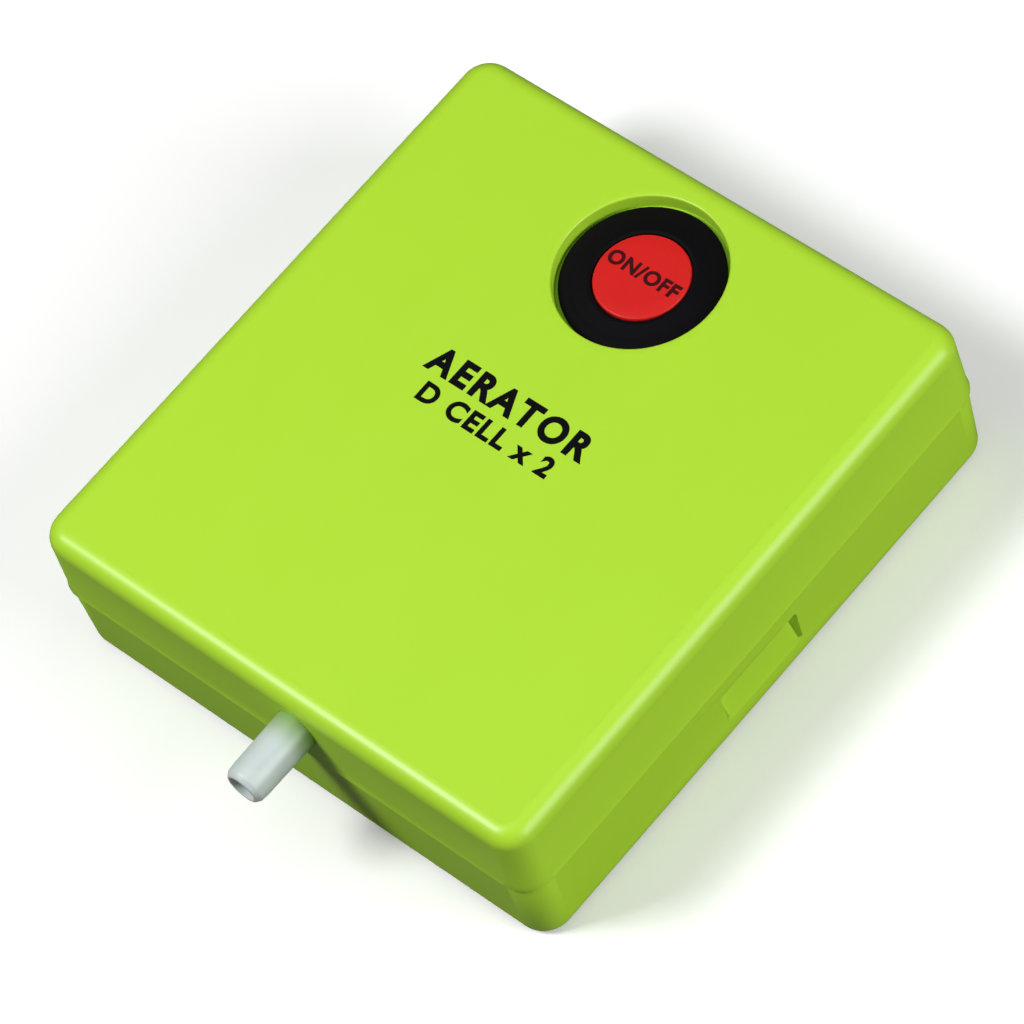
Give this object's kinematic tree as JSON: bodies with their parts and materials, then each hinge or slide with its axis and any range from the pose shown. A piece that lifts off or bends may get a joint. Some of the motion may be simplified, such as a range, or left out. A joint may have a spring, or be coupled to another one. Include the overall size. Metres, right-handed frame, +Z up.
{
  "type": "battery air pump",
  "caption": "Flat two-part case with a push button on top, an airline nozzle in front and a battery-driven diaphragm pump inside.",
  "frame": {"origin": "centre of the case's underside, on the surface it stands on", "axes": "+X along the front edge to the right, +Y to the back (the nozzle points to -Y), +Z up"},
  "size_m": [0.1292, 0.1568, 0.0395],
  "materials": {
    "green_plastic": "moulded, soft gloss",
    "black_rubber": "matt moulded",
    "red_plastic": "moulded, satin",
    "clear_vinyl": "frosted",
    "grey_plastic": "moulded, fine texture",
    "pale_plastic": "moulded, satin",
    "steel": "drawn sheet",
    "cell_case": "plated can",
    "zinc_screw": "zinc plated",
    "brass": "stamped",
    "ferrite": "sintered",
    "copper_winding": "enamelled wire",
    "felt": "needled felt",
    "cell_label": "shrink sleeve",
    "red_insulation": "soft vinyl",
    "black_insulation": "soft vinyl",
    "blue_insulation": "soft vinyl"
  },
  "bodies": {
    "case": {"upper_shell": "green_plastic", "chassis": "grey_plastic", "chassis_screws": "zinc_screw", "button_ring": "black_rubber", "switch_body": "grey_plastic", "switch_terminals": "brass", "switch_screws": "zinc_screw", "outlet_nozzle": "clear_vinyl", "outlet_hose": "clear_vinyl", "pump_frame": "grey_plastic", "frame_screws": "zinc_screw", "diaphragm": "black_rubber", "valve_plate": "pale_plastic", "inlet_flap": "black_rubber", "outlet_flap": "black_rubber", "pump_head": "grey_plastic", "head_screws": "zinc_screw", "inlet_filter": "felt", "motor_can": "steel", "motor_magnets": "ferrite", "motor_end_cap": "grey_plastic", "motor_terminals": "brass", "motor_sleeve": "black_rubber", "motor_strap": "steel", "strap_screws": "zinc_screw", "front_cell": "cell_case", "front_cell_sleeve": "cell_label", "rear_cell": "cell_case", "rear_cell_sleeve": "cell_label", "negative_contact": "steel", "positive_contact": "steel", "red_wire": "red_insulation", "black_wire": "black_insulation", "switch_wire": "blue_insulation"},
    "cover": {"lower_cover": "green_plastic"},
    "button": {"button_cap": "red_plastic", "button_stem": "grey_plastic", "return_spring": "steel"},
    "crank": {"motor_shaft": "steel", "armature": "copper_winding", "commutator": "brass", "crank_wheel": "pale_plastic"},
    "rod": {"rod_bush": "brass", "connecting_rod": "pale_plastic"}
  },
  "joints": [
    {"name": "cover_off", "type": "slide", "parent": "case", "child": "cover", "axis": [0, 0, -1], "range_m": [0, 0.06]},
    {"name": "button_press", "type": "slide", "parent": "case", "child": "button", "axis": [0, 0, -1], "range_m": [0, 0.0018], "stiffness_N_per_m": 600, "springref_m": -0.001, "deforming": ["return_spring"]},
    {"name": "motor_spin", "type": "hinge", "parent": "case", "child": "crank", "pos_m": [0.008, 0.006, 0.017], "axis": [0, 1, 0], "continuous": true},
    {"name": "rod_wobble", "type": "hinge", "parent": "crank", "child": "rod", "pos_m": [0.009, -0.018, 0.017], "axis": [0, 1, 0], "continuous": true}
  ],
  "couplings": [
    {"joint": "rod_wobble", "follows": "motor_spin", "ratio": -1}
  ]
}
